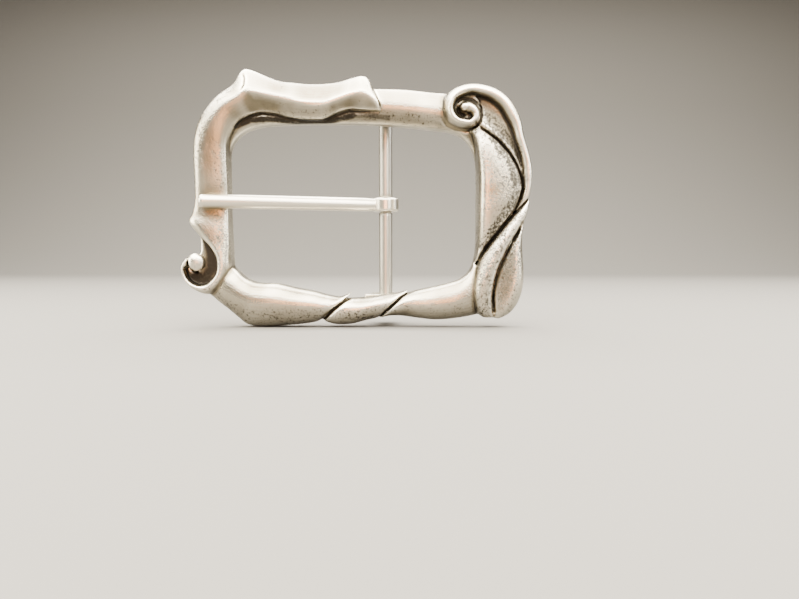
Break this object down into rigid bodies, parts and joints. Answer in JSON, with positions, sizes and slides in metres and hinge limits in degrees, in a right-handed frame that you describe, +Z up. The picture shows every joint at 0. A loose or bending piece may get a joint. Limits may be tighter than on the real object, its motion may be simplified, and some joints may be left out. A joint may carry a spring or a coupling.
{
  "type": "belt buckle",
  "caption": "Cast metal belt buckle for a 40 mm strap, with a leaf and scroll frame, a strap bar behind it and a round prong that swings on the bar.",
  "frame": {"origin": "middle of the strap bar's axis, halfway between the two lugs and at the prong's eye", "axes": "upright as worn: +X right as seen from the front, +Z up along the strap bar, the front faces -Y"},
  "size_m": [0.079, 0.0179, 0.0577],
  "materials": {
    "cast_antique_silver": "antiqued silver plate on a zinc casting, satin with dark recesses",
    "steel_pin": "dull plated steel",
    "cast_silver_rod": "satin silver plate"
  },
  "bodies": {
    "buckle": {"frame": "cast_antique_silver", "bar_pin": "steel_pin"},
    "tongue": {"prong": "cast_silver_rod"}
  },
  "joints": [
    {"name": "prong_swing", "type": "hinge", "parent": "buckle", "child": "tongue", "pos_m": [0, 0, 0], "axis": [0, 0, 1], "range_deg": [0, 125]}
  ]
}
